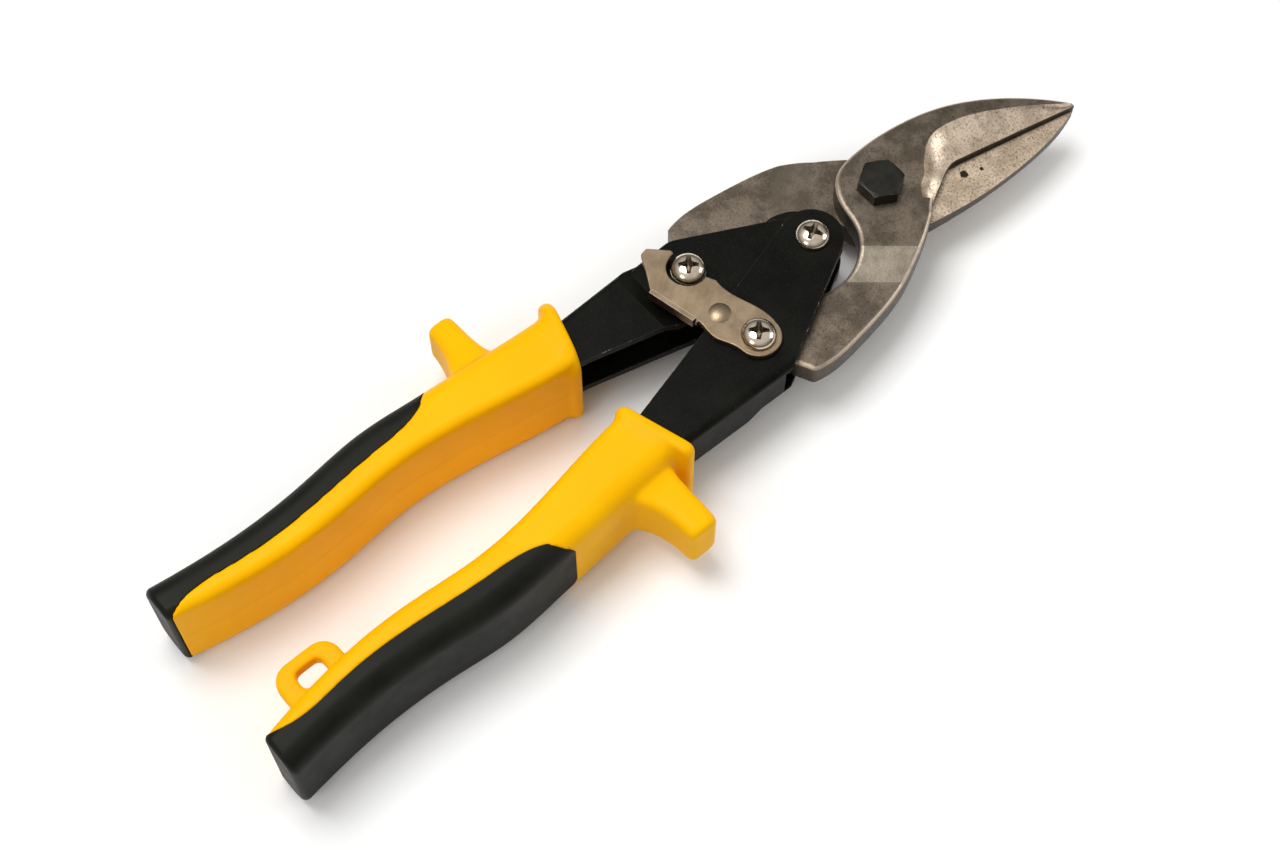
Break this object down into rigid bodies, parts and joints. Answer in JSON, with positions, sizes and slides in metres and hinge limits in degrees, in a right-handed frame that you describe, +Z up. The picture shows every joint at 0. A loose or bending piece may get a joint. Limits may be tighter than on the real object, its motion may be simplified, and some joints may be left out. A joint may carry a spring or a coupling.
{
  "type": "aviation snips",
  "caption": "Compound-leverage sheet metal snips, closed and latched: curved forged jaws, pressed channel handles with thumb stops, hooked latch and return spring.",
  "frame": {"origin": "centre of the closed tool's bounding box, on the surface that the tool lies on", "axes": "+X towards the blade tips, +Y towards the left handle, +Z up through the jaws, along every pivot"},
  "size_m": [0.25, 0.0808, 0.0278],
  "materials": {
    "jaw_steel": "forged, satin, with ground bevels",
    "handle_paint": "satin black paint, worn at the edges",
    "grip_yellow": "smooth moulded, slight gloss",
    "grip_black": "satin",
    "nickel_screw": "nickel plated",
    "latch_nickel": "nickel plated, scuffed",
    "bolt_black": "black oxide, worn at the corners",
    "zinc_hardware": "zinc plated",
    "spring_steel": "drawn wire"
  },
  "bodies": {
    "right_handle": {"right_handle_channel": "handle_paint", "right_grip": "grip_yellow", "right_grip_pad": "grip_black", "centre_pivot_screw": "nickel_screw", "centre_pivot_nut": "zinc_hardware", "centre_spacer": "zinc_hardware", "latch_pivot_screw": "nickel_screw", "latch_pivot_nut": "zinc_hardware", "right_tail_washers": "zinc_hardware", "latch_washer": "zinc_hardware", "return_spring": "spring_steel"},
    "left_handle": {"left_handle_channel": "handle_paint", "left_grip": "grip_yellow", "left_grip_pad": "grip_black", "catch_screw": "nickel_screw", "catch_nut": "zinc_hardware", "catch_spacer": "zinc_hardware", "left_tail_washers": "zinc_hardware"},
    "top_jaw": {"top_jaw": "jaw_steel", "main_bolt": "bolt_black", "main_spring_washer": "bolt_black", "main_lock_nut": "bolt_black"},
    "bottom_jaw": {"bottom_jaw": "jaw_steel"},
    "latch": {"latch_plate": "latch_nickel"}
  },
  "joints": [
    {"name": "handle_open", "type": "hinge", "parent": "right_handle", "child": "left_handle", "pos_m": [0.0473, 0, 0.0139], "axis": [0, 0, -1], "range_deg": [0, 45], "deforming": ["return_spring"]},
    {"name": "top_jaw_swing", "type": "hinge", "parent": "right_handle", "child": "top_jaw", "pos_m": [0.019, -0.0122, 0.0139], "axis": [0, 0, -1], "range_deg": [0, 11]},
    {"name": "bottom_jaw_swing", "type": "hinge", "parent": "top_jaw", "child": "bottom_jaw", "pos_m": [0.0696, 0, 0.0139], "axis": [0, 0, -1], "range_deg": [0, 24]},
    {"name": "latch_swing", "type": "hinge", "parent": "right_handle", "child": "latch", "pos_m": [0.019, -0.0122, 0.0139], "axis": [0, 0, 1], "range_deg": [0, 77]}
  ],
  "couplings": [
    {"joint": "top_jaw_swing", "follows": "handle_open", "ratio": 0.2385},
    {"joint": "bottom_jaw_swing", "follows": "handle_open", "ratio": 0.523},
    {"joint": "latch_swing", "follows": "handle_open", "ratio": 1.7}
  ]
}
